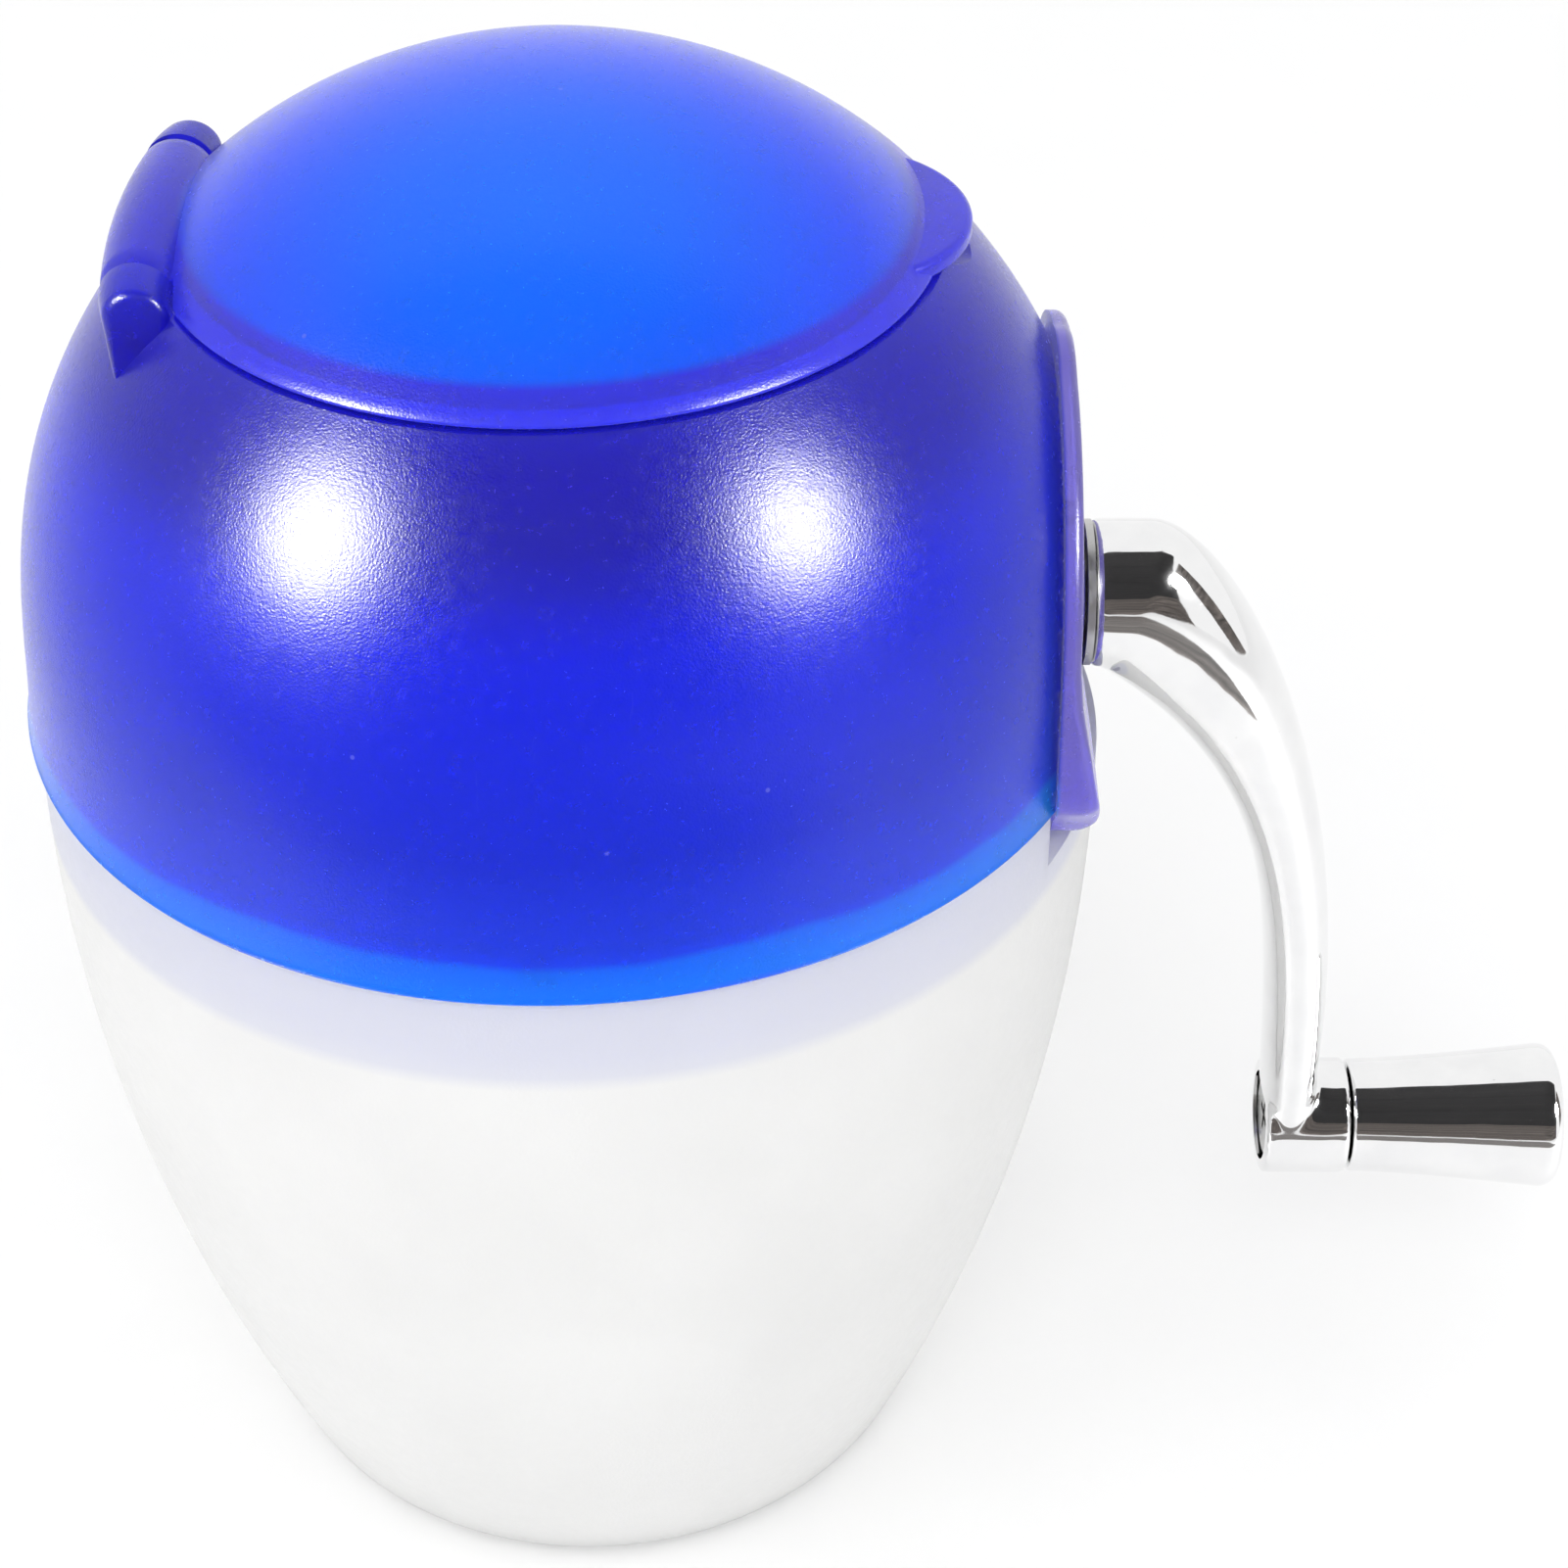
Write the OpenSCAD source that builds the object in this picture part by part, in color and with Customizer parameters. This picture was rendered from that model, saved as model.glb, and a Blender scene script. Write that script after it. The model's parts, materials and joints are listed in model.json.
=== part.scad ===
// Hand-crank ice crusher: a catch cup, a domed head with a hinged lid and a hopper, and a
// crank that turns a bladed rotor between two fixed combs.
// Frame: origin at the centre of the cup's base, +Z up, crank shaft along +X, lid hinge at -X.
// Heights inside the head are measured from the head's lower rim.

/* [Cup] */
// Height of the head's lower rim above the table
rim_h = 118.8; // [110:0.1:125]
// Outer radius of the cup's mouth
cup_r = 65.9; // [65.6:0.1:66.2]
// Radius of the flat base
cup_base_r = 40.5; // [36:0.5:42]
// Radius of the rounded edge round the base
cup_edge_r = 6; // [4:0.5:7]
// Wall thickness of the cup
cup_wall = 2.4; // [2:0.1:2.6]
// Height of the cup's lip inside the head's skirt
lip_h = 5; // [4:0.1:5]
// Depth of the notch under the side plate
notch_d = 8.6; // [8.4:0.1:10]

/* [Head] */
// Outer radius of the head's lower rim
head_r = 67; // [66.8:0.1:67.5]
// Height of the lid's seat above the rim
seat_h = 59.3; // [59:0.1:59.6]
// Wall thickness of the dome
head_wall = 2.3; // [2.1:0.1:2.5]
// Distance from the centre to the flat on the crank side
flat_x = 58.6; // [58.2:0.1:59]
// Radius of the filling mouth
mouth_r = 41.6; // [41:0.1:42]

/* [Lid] */
// Radius of the lid's rim
lid_r = 44.87; // [44.5:0.01:45.2]
// Outer radius of the sphere that the lid is cut from
lid_sphere_r = 64.7; // [63:0.1:67]
// Thickness of the lid
lid_wall = 2.3; // [2:0.1:2.6]
// Distance of the hinge axis from the centre
hinge_x = 44.6; // [44.4:0.1:45]
// Radius of the hinge barrel at its ends
barrel_r = 4.3; // [4.2:0.1:4.3]
// Half the length of the lid's centre knuckle
knuckle_y = 15.5; // [15:0.5:16]
// Radius of the hinge pin
pin_r = 1.5; // [1.2:0.1:1.8]

/* [Rotor] */
// Height of the shaft above the head's rim
shaft_z = 9.5; // [9.3:0.1:9.7]
// Tip radius of the blades
blade_r = 20; // [17:0.5:20]
// Distance from one blade to the next
blade_pitch = 8; // [7.6:0.1:8]
// Thickness of one blade
blade_t = 2; // [1.5:0.1:2.2]
// Radius of the spacers between the blades
spacer_r = 8; // [7.5:0.1:8.2]
// Radius of the round drive journal
journal_r = 5; // [4.8:0.1:5]

/* [Crank] */
// Throw of the crank, from the shaft to the knob
crank_throw = 88.1; // [80:0.1:92]
// Outer radius of the crank's hub
hub_r = 9.15; // [8.8:0.05:9.4]
// Radius of the boss that carries the knob
boss_r = 8.05; // [7.8:0.05:8.4]
// Length of the knob
knob_len = 28.95; // [24:0.05:32]
// Radius of the knob's wide end
knob_r = 10; // [9:0.1:10.4]

/* [Hidden] */
$fn = 96;
eps = 0.01;
clear = 0.3;          // gap between pieces that move apart
running = 0.05;       // radial clearance of a shaft in its bush
far = 200;            // size of a cutting block

BLADES = 6;
BLADE_TURN = 60;      // each blade sits one flat of the hexagon further round

// Cup
lip_out_r = head_r - head_wall - 0.8;   // the dome leans in, so its inner face is closer at the lip's top
lip_in_r = 62.3;
lip_x = flat_x - head_wall - clear;     // the lip stops short of the head's flat wall
notch_x = flat_x - 0.4;                 // face of the cup's flat, behind the side plate's lip

// Head
mouth_wall = 2;
collar_drop = 6;
trough_wall = 2;
key_w = 3;
plate_t = 2.2;
plate_margin = 1.0;                     // how far the plate stands proud of the dome
plate_drop = 8;
plate_half = 29;
plate_boss_r = 9;
plate_boss_x = 63.2;
bush_out_r = 6.8;
bush_head_r = 8;

// Hopper
drum_r = 54;
drum_wall = 2;
drum_top = 43;
flange_z = 6;
flange_t = 2;
flange_r = 63.5;
spigot_r = 61.9;
spigot_wall = 1.8;
spigot_drop = 12.5;
spigot_x = 55.6;
floor_edge_z = 10;                      // height of the floor where it meets the drum
floor_slope = tan(17.7);
floor_t = 2.1;
throat_x = 27.5;
throat_y = 23.5;
chute_wall = 2;
tunnel_r = 8;
tunnel_bore = journal_r + 1.2;
ledge_y = 33;
ledge_z = 1.5;
comb_t = 2;
comb_bar_y = 19.6;
finger_tip_y = 9.2;
finger_w = 4;
comb_screw_x = 16;
comb_screw_y = 28.5;
rib_t = 1.6;

// Screws
hopper_screw_r = 57.3;
plate_screw_y = 15;
plate_screw_z = [12, 30];
screw_r = 1.5;
screw_head_r = 2.6;
screw_head_h = 1.8;

// Hinge
hinge_z = 59.2;
barrel_swell = 1.1;                     // how much fatter the lid's knuckle is in the middle
outer_knuckle_y = 21.7;
tail_tip = [-3.2, -10.2];                // from the hinge axis, outwards and down
tab_x = 30.8;
tab_r = 17.4;
lid_bottom = seat_h + clear;
skirt_r = mouth_r - clear;
skirt_wall = 1.9;
skirt_drop = 4.5;
lid_sphere_z = 13.4;

// Rotor
stack_half = blade_pitch * (BLADES - 1) / 2 + blade_t / 2;
end_spacer_len = 3.4;
hex_half = stack_half + end_spacer_len;
hex_r = 6;
collar_w = 1.5;
left_journal_r = 4;
left_end_x = 56.5;
drive_end_x = 74;
drive_flat = 3.6;
clip_w = 1.2;
clip_groove_r = 3.5;

// Crank
hub_x = 64.5;
hub_end_x = 73;
knob_boss_x = 93.4;
knob_boss_end = 105.05;
knob_x = 105.35;
knob_z = shaft_z - crank_throw;
knob_core_r = 2.5;
knob_journal_r = 3;
set_screw_x = 69;
set_screw_r = 1.6;
recess_r = 6.2;
recess_d = 3;
arm_half_top = 9.15;
arm_half_low = 6.8;
// Corners of the two curves that bound the arm as seen from the front
arm_outer = [[hub_end_x, 18.65], [82, 17], [103.4, -16.7], [99.9, -76]];
arm_inner = [[66, 0], [90.5, -16.6], [91.3, -39.6], [93.2, -76]];
// Corners of the cup's and the dome's profile, radius and height from the head's rim
foot_turn = 22.6;                       // lean of the cup's wall where the base's edge begins
foot_c = [cup_base_r, cup_edge_r - rim_h];
cup_curve = [[cup_r, -clear], [68.5, -44.6], [57.9, -85.2],
             foot_c + cup_edge_r * [cos(foot_turn), -sin(foot_turn)]];
dome_curve = [[head_r, 0], [64.4, 13.5], [69.1, 35.3], [45.5, seat_h]];

// Point at t, from 0 to 1, on the curve with four corners p
function bezier(p, t) =
  pow(1 - t, 3) * p[0] + 3 * t * pow(1 - t, 2) * p[1] + 3 * t * t * (1 - t) * p[2] + pow(t, 3) * p[3];

// Curve p in n steps
function curve(p, n) = [for (i = [0 : n]) bezier(p, i / n)];

// Unit normal, to the left of the direction of travel, of the line from a to b
function left_of(a, b) = [a[1] - b[1], b[0] - a[0]] / norm(b - a);

// Outline q moved sideways by d, to the left of its direction of travel
function shift_line(q, d) = [
  for (i = [0 : len(q) - 1]) q[i] + d * left_of(q[max(i - 1, 0)], q[min(i + 1, len(q) - 1)])
];

// Points of an arc of radius r about c, from angle a to angle b
function arc(c, r, a, b, n) = [
  for (i = [0 : n]) c + r * [cos(a + (b - a) * i / n), sin(a + (b - a) * i / n)]
];

function reversed(q) = [for (i = [len(q) - 1 : -1 : 0]) q[i]];

// Height of the hopper floor's upper face at radius r
function floor_z(r) = floor_edge_z - (drum_r - drum_wall - r) * floor_slope;

DOME = curve(dome_curve, 14);
CUP = curve(cup_curve, 16);

// Half width of the dome, grown by m, where the flat cuts it at the profile point p
function arch_half(p, m) = sqrt(max(pow(p[0] + m, 2) - pow(flat_x, 2), 0));

// Everything drawn inside is measured from the head's lower rim
module at_rim() {
  translate([0, 0, rim_h])
    children();
}

// Cylinder along +X from x0 to x1, centred on y and z
module bar_x(r, x0, x1, y = 0, z = 0, r_end = -1) {
  translate([x0, y, z])
    rotate([0, 90, 0])
      cylinder(h = x1 - x0, r1 = r, r2 = r_end < 0 ? r : r_end);
}

// Cylinder along +Y from y0 to y1, centred on x and z
module bar_y(r, y0, y1, x = 0, z = 0) {
  translate([x, y0, z])
    rotate([-90, 0, 0])
      cylinder(h = y1 - y0, r = r);
}

// Block between two opposite corners
module block(a, b) {
  translate(a)
    cube(b - a);
}

// Ring about Z
module ring(r_out, r_in, z0, z1) {
  translate([0, 0, z0])
    difference() {
      cylinder(h = z1 - z0, r = r_out);
      translate([0, 0, -1])
        cylinder(h = z1 - z0 + 2, r = r_in);
    }
}

// Ring about the shaft's axis
module shaft_ring(r_out, r_in, x0, x1) {
  difference() {
    bar_x(r_out, x0, x1, 0, shaft_z);
    bar_x(r_in, x0 - 1, x1 + 1, 0, shaft_z);
  }
}

// Pan-head screw that points along +Z, with the underside of its head at z = 0
module screw(len, recess = 1) {
  difference() {
    union() {
      translate([0, 0, -screw_head_h])
        cylinder(h = screw_head_h, r = screw_head_r, $fn = 48);
      translate([0, 0, -eps])
        cylinder(h = len, r = screw_r, $fn = 48);
    }
    translate([0, 0, -screw_head_h - eps])
      for (a = [0, 90])
        rotate(a)
          cube([2.8, 0.6, 2 * recess], center = true);
  }
}

// Solid of revolution inside a profile that starts at the height top
module cup_round(profile, top) {
  rotate_extrude()
    polygon(concat([[0, top], [profile[0][0], top]], profile, [[0, profile[len(profile) - 1][1]]]));
}

// Everything outside the face x and above the height z
module beyond(x, z) {
  block([x, -far, z], [far, far, far]);
}

module cup() {
  inner_top = -8;                       // the wall thickens towards the lip above this height
  foot = arc(foot_c, cup_edge_r, -foot_turn - 10, -90, 6);
  outside = concat(CUP, foot);
  inside = shift_line(outside, -cup_wall);
  color([0.93, 0.93, 0.95, 0.7])
    at_rim()
      difference() {
        union() {
          cup_round(outside, -clear);
          translate([0, 0, inner_top])
            cylinder(h = lip_h - inner_top, r = lip_out_r);
        }
        beyond(notch_x, -notch_d);
        beyond(lip_x, -0.5);
        difference() {
          union() {
            cup_round([for (p = inside) if (p[1] < inner_top) p], inner_top);
            translate([0, 0, inner_top - 1])
              cylinder(h = lip_h - inner_top + 2, r = lip_in_r);
          }
          block([notch_x - cup_wall, -far, -notch_d - cup_wall], [far, far, -0.5]);
        }
        for (side = [-1, 1])
          translate([0, side * (lip_out_r - 1), lip_h])
            cube([key_w + 2 * clear, 8, 2 * lip_h], center = true);
      }
}

// Solid under the dome's outer face, or under its inner face
module dome_solid(profile, x_max) {
  intersection() {
    rotate_extrude()
      polygon(concat([[0, -eps]], profile, [[0, profile[len(profile) - 1][1]]]));
    block([-far, -far, -1], [x_max, far, far]);
  }
}

// Teardrop section of an outer hinge knuckle, x across and z up, about the hinge axis
module knuckle_section() {
  reach = norm(tail_tip);
  lean = atan2(tail_tip[1], tail_tip[0]);
  spread = acos(barrel_r / reach);
  circle(r = barrel_r);
  polygon([
    [0, 0],
    barrel_r * [cos(lean - spread), sin(lean - spread)],
    tail_tip,
    barrel_r * [cos(lean + spread), sin(lean + spread)]
  ]);
}

// Outer hinge knuckle on the dome, with the keel that carries it
module outer_knuckle(side) {
  mirror([0, side > 0 ? 1 : 0, 0])
    translate([-hinge_x, -knuckle_y - 0.4, hinge_z])
      rotate([90, 0, 0])
        linear_extrude(outer_knuckle_y - knuckle_y - 0.4)
          knuckle_section();
}

// Crowned barrel about the hinge axis, grown by g
module hinge_barrel(g = 0) {
  half = knuckle_y + (g > 0 ? 0.35 : 0);
  translate([-hinge_x, 0, hinge_z])
    rotate([-90, 0, 0])
      rotate_extrude($fn = 48)
        polygon(concat(
          [[0, -half]],
          [for (i = [-6 : 6]) [barrel_r + g + barrel_swell * (1 - pow(i / 6, 2)), half * i / 6]],
          [[0, half]]
        ));
}

module head_shell() {
  inside = shift_line(DOME, head_wall);
  color([0.12, 0.18, 0.9, 0.8])
    at_rim() {
      difference() {
        union() {
          difference() {
            dome_solid(DOME, flat_x);
            dome_solid([for (p = inside) [p[0], p[1] - 0.02]], flat_x - head_wall);
          }
          ring(mouth_r + mouth_wall, mouth_r, seat_h - collar_drop, seat_h - 0.5);
          intersection() {
            hinge_barrel(trough_wall);
            dome_solid(DOME, flat_x);
          }
          outer_knuckle(-1);
          outer_knuckle(1);
          for (a = [45 : 90 : 315])
            rotate(a)
              translate([hopper_screw_r, 0, flange_z + flange_t])
                cylinder(h = 14, r = 3);
          for (a = [45 : 90 : 315])
            rotate(a)
              block([hopper_screw_r, -0.8, flange_z + flange_t], [hopper_screw_r + 6, 0.8, 20]);
        }
        translate([0, 0, seat_h - 20])
          cylinder(h = 40, r = mouth_r);
        hinge_barrel(clear + 0.05);
        bar_y(pin_r, -outer_knuckle_y + 2, 40, -hinge_x, hinge_z);
        translate([49, 0, 70.9])
          sphere(r = 14.5, $fn = 60);
        bar_x(plate_boss_r, 50, 62, 0, shaft_z);
        for (a = [45 : 90 : 315])
          rotate(a)
            translate([hopper_screw_r, 0, 0])
              cylinder(h = 18, r = screw_r, $fn = 48);
        for (y = [-plate_screw_y, plate_screw_y], z = plate_screw_z)
          bar_x(screw_r + 0.2, 50, 62, y, z);
      }
      for (side = [-1, 1])
        translate([0, side * (lip_out_r + 0.2), lip_h / 2 + 0.3])
          cube([key_w, 3.2, lip_h - 0.6], center = true);
    }
}

// Funnel with its drum wall, before the throat is cut
module hopper_bowl() {
  rotate_extrude()
    polygon([
      [drum_r - drum_wall, drum_top],
      [drum_r - drum_wall, floor_z(drum_r - drum_wall)],
      [20, floor_z(20)],
      [20, floor_z(20) - floor_t],
      [drum_r, floor_z(drum_r) - floor_t],
      [drum_r, drum_top]
    ]);
}

// Straight ring, round except for a flat towards +X
module flat_ring(r_out, r_in, x_out, x_in, z0, z1) {
  difference() {
    intersection() {
      translate([0, 0, z0])
        cylinder(h = z1 - z0, r = r_out);
      block([-far, -far, z0 - 1], [x_out, far, z1 + 1]);
    }
    intersection() {
      translate([0, 0, z0 - 1])
        cylinder(h = z1 - z0 + 2, r = r_in);
      block([-far, -far, z0 - 2], [x_in, far, z1 + 2]);
    }
  }
}

// Walls of the rectangular chute round the rotor, cut off under the floor's upper face
module hopper_chute() {
  intersection() {
    block([-throat_x - chute_wall, -throat_y - chute_wall, -spigot_drop],
          [throat_x + chute_wall, throat_y + chute_wall, 20]);
    rotate_extrude()
      polygon([
        [0, -20],
        [drum_r, -20],
        [drum_r, floor_z(drum_r) - 1],
        [20, floor_z(20) - 1],
        [0, floor_z(20) - 1]
      ]);
  }
}

// Ledge under a comb, with the ribs that stiffen it
module hopper_ledge(side) {
  mirror([0, side > 0 ? 1 : 0, 0]) {
    block([-throat_x, -ledge_y, -2.5], [throat_x, -throat_y - 1, ledge_z]);
    intersection() {
      for (i = [-3 : 3])
        translate([i * blade_pitch - rib_t / 2, 0, 0])
          rotate([90, 0, 90])
            linear_extrude(rib_t)
              polygon([
                [-spigot_r, -3],
                [-spigot_r, flange_z + 0.5],
                [-drum_r + 1, flange_z + 0.5],
                [-ledge_y + 0.5, -0.5],
                [-throat_y - 1, -1],
                [-throat_y - 1, -4]
              ]);
      translate([0, 0, -far / 2])
        cylinder(h = far, r = spigot_r - 0.6);
    }
  }
}

module hopper() {
  color([0.15, 0.22, 0.85, 0.8])
    at_rim()
      difference() {
        union() {
          hopper_bowl();
          hopper_chute();
          hopper_ledge(-1);
          hopper_ledge(1);
          flat_ring(flange_r, drum_r - 1, lip_x, lip_x + 20, flange_z, flange_z + flange_t);
          flat_ring(spigot_r, spigot_r - spigot_wall, spigot_x, spigot_x - spigot_wall,
                    -spigot_drop, flange_z + 0.5);
          intersection() {
            bar_x(tunnel_r, -drum_r, lip_x, 0, shaft_z);
            translate([0, 0, -spigot_drop])
              cylinder(h = 60, r = drum_r - 0.5);
          }
          bar_x(tunnel_r, -left_end_x - 2.5, -drum_r + 1, 0, shaft_z);
        }
        block([-throat_x, -throat_y, -far / 2], [throat_x, throat_y, drum_top - 1]);
        for (side = [-1, 1])
          block([-throat_x, side > 0 ? throat_y - 1 : -ledge_y, ledge_z],
                [throat_x, side > 0 ? ledge_y : -throat_y + 1, 12]);
        bar_x(tunnel_bore, -50, 60, 0, shaft_z);
        bar_x(bush_head_r + clear, 54.8, 60, 0, shaft_z);
        bar_x(bush_out_r - 0.6, -left_end_x - 0.5, -40, 0, shaft_z);
        for (a = [45 : 90 : 315])
          rotate(a)
            translate([hopper_screw_r, 0, 0])
              cylinder(h = 18, r = screw_r + 0.2, $fn = 48);
        for (x = [-comb_screw_x, comb_screw_x], y = [-comb_screw_y, comb_screw_y])
          translate([x, y, -20])
            cylinder(h = 40, r = screw_r, $fn = 48);
      }
}

// Outline of the side plate as seen along the shaft, y across and z up
module plate_outline() {
  corner = 5;
  arch = [for (p = DOME) if (p[1] > 2 && arch_half(p, plate_margin) > 4)
           [arch_half(p, plate_margin), p[1] + plate_margin]];
  top = arch[len(arch) - 1];
  side = concat(
    arc([plate_half - corner, -plate_drop + corner], corner, -90, -20, 6),
    [[plate_half + 1.6, -2.4], [plate_half + 3.6, -0.4], [plate_half + 4.9, 0.8]],
    arch,
    [[top[0] / 2, top[1] + 0.9], [0, top[1] + 1.1]]
  );
  polygon(concat(side, [for (p = reversed(side)) if (p[0] > 0.1) [-p[0], p[1]]]));
}

module side_plate() {
  lip_out = 64.3;
  color([0.3, 0.25, 0.8, 0.8])
    at_rim()
      difference() {
        union() {
          intersection() {
            translate([flat_x, 0, 0])
              rotate([90, 0, 90])
                linear_extrude(10)
                  plate_outline();
            rotate([90, 0, 0])
              translate([0, 0, -40])
                linear_extrude(80)
                  polygon(concat(
                    [[flat_x, 60], [flat_x, -10], [63, -10]],
                    arc([lip_out - 3, -4.6], 3, -50, 10, 5),
                    [[62.5, 7.5], [61.2, 14], [flat_x + plate_t, 19], [flat_x + plate_t, 60]]
                  ));
          }
          bar_x(plate_boss_r, flat_x - head_wall, plate_boss_x, 0, shaft_z);
          for (y = [-plate_screw_y, plate_screw_y], z = plate_screw_z)
            bar_x(screw_r + 0.15, flat_x - 1, flat_x + 1, y, z);
        }
        bar_x(bush_out_r, 50, 70, 0, shaft_z);
        for (y = [-plate_screw_y, plate_screw_y], z = plate_screw_z)
          bar_x(screw_r - 0.2, 50, flat_x + plate_t - 0.6, y, z);
      }
}

module bush_right() {
  color("white")
    at_rim() {
      shaft_ring(bush_out_r, journal_r + running, flat_x - head_wall, plate_boss_x);
      shaft_ring(bush_head_r, journal_r + running, flat_x - head_wall - 1.2, flat_x - head_wall);
    }
}

module bush_left() {
  color("white")
    at_rim()
      shaft_ring(bush_out_r - 0.6, left_journal_r + running, -left_end_x, -drum_r + drum_wall - 1);
}

// Flat steel comb on the ledge in front of the rotor, or behind it
module comb(side) {
  color("silver")
    at_rim()
      mirror([0, side > 0 ? 1 : 0, 0])
        difference() {
          union() {
            block([-throat_x + 0.5, -ledge_y + 0.3, ledge_z],
                  [throat_x - 0.5, -comb_bar_y, ledge_z + comb_t]);
            for (i = [-3 : 3])
              block([i * blade_pitch - finger_w / 2, -comb_bar_y - 1, ledge_z],
                    [i * blade_pitch + finger_w / 2, -finger_tip_y, ledge_z + comb_t]);
          }
          for (x = [-comb_screw_x, comb_screw_x])
            translate([x, -comb_screw_y, 0])
              cylinder(h = 20, r = screw_r + 0.2, $fn = 48);
        }
}

module comb_screws() {
  color("gray")
    at_rim()
      for (x = [-comb_screw_x, comb_screw_x], y = [-comb_screw_y, comb_screw_y])
        translate([x, y, ledge_z + comb_t])
          rotate([180, 0, 0])
            screw(9);
}

module hopper_screws() {
  color("gray")
    at_rim()
      for (a = [45 : 90 : 315])
        rotate(a)
          translate([hopper_screw_r, 0, flange_z])
            screw(11);
}

module plate_screws() {
  color("gray")
    at_rim()
      for (y = [-plate_screw_y, plate_screw_y], z = plate_screw_z)
        translate([flat_x - head_wall, y, z])
          rotate([0, 90, 0])
            scale([0.85, 0.85, 1])
              screw(3.6);
}

module hinge_pin() {
  color([0.12, 0.18, 0.9, 0.8])
    at_rim()
      bar_y(pin_r, -outer_knuckle_y + 2, outer_knuckle_y - 0.6, -hinge_x, hinge_z);
}

module lid() {
  color([0.2, 0.4, 1, 0.8])
    at_rim()
      difference() {
        union() {
          intersection() {
            translate([0, 0, lid_sphere_z])
              sphere(r = lid_sphere_r);
            translate([0, 0, lid_bottom])
              cylinder(h = 30, r = lid_r);
          }
          ring(skirt_r, skirt_r - skirt_wall, lid_bottom - skirt_drop, lid_bottom + 0.5);
          translate([tab_x, 0, lid_bottom])
            cylinder(h = 2.3, r = tab_r);
          difference() {
            hinge_barrel();
            cylinder(h = far, r = skirt_r - 1);
          }
        }
        for (side = [-1, 1])
          bar_y(barrel_r + clear, min(side * knuckle_y, side * 30), max(side * knuckle_y, side * 30),
                -hinge_x, hinge_z);
        intersection() {
          translate([0, 0, lid_sphere_z])
            sphere(r = lid_sphere_r - lid_wall);
          translate([0, 0, lid_bottom - 20])
            cylinder(h = 50, r = skirt_r - skirt_wall);
        }
        bar_y(pin_r + 0.06, -30, 30, -hinge_x, hinge_z);
      }
}

module shaft() {
  clip_x = -hex_half - clip_w;
  color("silver")
    at_rim()
      difference() {
        union() {
          translate([-hex_half, 0, shaft_z])
            rotate([0, 90, 0])
              cylinder(h = 2 * hex_half, r = hex_r, $fn = 6);
          bar_x(spacer_r, hex_half, hex_half + collar_w, 0, shaft_z);
          bar_x(journal_r, hex_half + collar_w - eps, drive_end_x, 0, shaft_z);
          bar_x(left_journal_r, -left_end_x + 1, -hex_half + eps, 0, shaft_z);
        }
        block([hub_x - 0.1, drive_flat, -far], [far, far, far]);
        difference() {
          bar_x(left_journal_r + 1, clip_x, -hex_half, 0, shaft_z);
          bar_x(clip_groove_r, clip_x - 1, -hex_half + 1, 0, shaft_z);
        }
      }
}

// Outline of a blade: four hooked teeth round a disc
module blade_outline() {
  root_r = 10.5;
  polygon([
    for (k = [0 : 3], s = [[0, root_r], [26, root_r + 0.8], [52, blade_r - 1], [60, blade_r],
                           [64, blade_r - 2.5], [76, root_r + 1]])
      s[1] * [cos(90 * k + s[0]), sin(90 * k + s[0])]
  ]);
}

module blade(i) {
  x = (i - (BLADES + 1) / 2) * blade_pitch;
  color("lightgray")
    at_rim()
      translate([x - blade_t / 2, 0, shaft_z])
        rotate([BLADE_TURN * i, 0, 0])
          rotate([90, 0, 90])
            difference() {
              linear_extrude(blade_t)
                blade_outline();
              translate([0, 0, -1])
                rotate(90)
                  cylinder(h = blade_t + 2, r = hex_r + running, $fn = 6);
            }
}

// Sleeve on the hexagonal shaft from x0 to x1
module sleeve(x0, x1) {
  color("gray")
    at_rim()
      difference() {
        bar_x(spacer_r, x0, x1, 0, shaft_z);
        translate([x0 - 1, 0, shaft_z])
          rotate([0, 90, 0])
            cylinder(h = x1 - x0 + 2, r = hex_r + running, $fn = 6);
      }
}

module spacer(i) {
  x = (i - BLADES / 2) * blade_pitch;
  sleeve(x - (blade_pitch - blade_t) / 2, x + (blade_pitch - blade_t) / 2);
}

module end_spacer_left() {
  sleeve(-hex_half, -stack_half);
}

module end_spacer_right() {
  sleeve(stack_half, hex_half);
}

module retaining_clip() {
  color("dimgray")
    at_rim()
      difference() {
        shaft_ring(7.5, clip_groove_r, -hex_half - clip_w, -hex_half);
        block([-hex_half - 3, -2.6, shaft_z - 12], [-hex_half + 1, 2.6, shaft_z]);
      }
}

module thrust_washer() {
  color("gray")
    at_rim()
      shaft_ring(hub_r - 0.1, journal_r + running, plate_boss_x + 0.35, hub_x);
}

// Curved arm between its two side curves, as seen from the front, narrowing downwards
module arm_blank() {
  steps = 14;
  intersection() {
    translate([0, 20, 0])
      rotate([90, 0, 0])
        linear_extrude(40)
          polygon(concat([[hub_x, 18], [hub_x, 0]], curve(arm_inner, steps),
                         reversed(curve(arm_outer, steps))));
    rotate([90, 0, 90])
      linear_extrude(far)
        polygon([
          [-arm_half_top, 30],
          [arm_half_top, 30],
          [arm_half_top, 6],
          [arm_half_low, knob_z],
          [-arm_half_low, knob_z],
          [-arm_half_top, 6]
        ]);
  }
}

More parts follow.
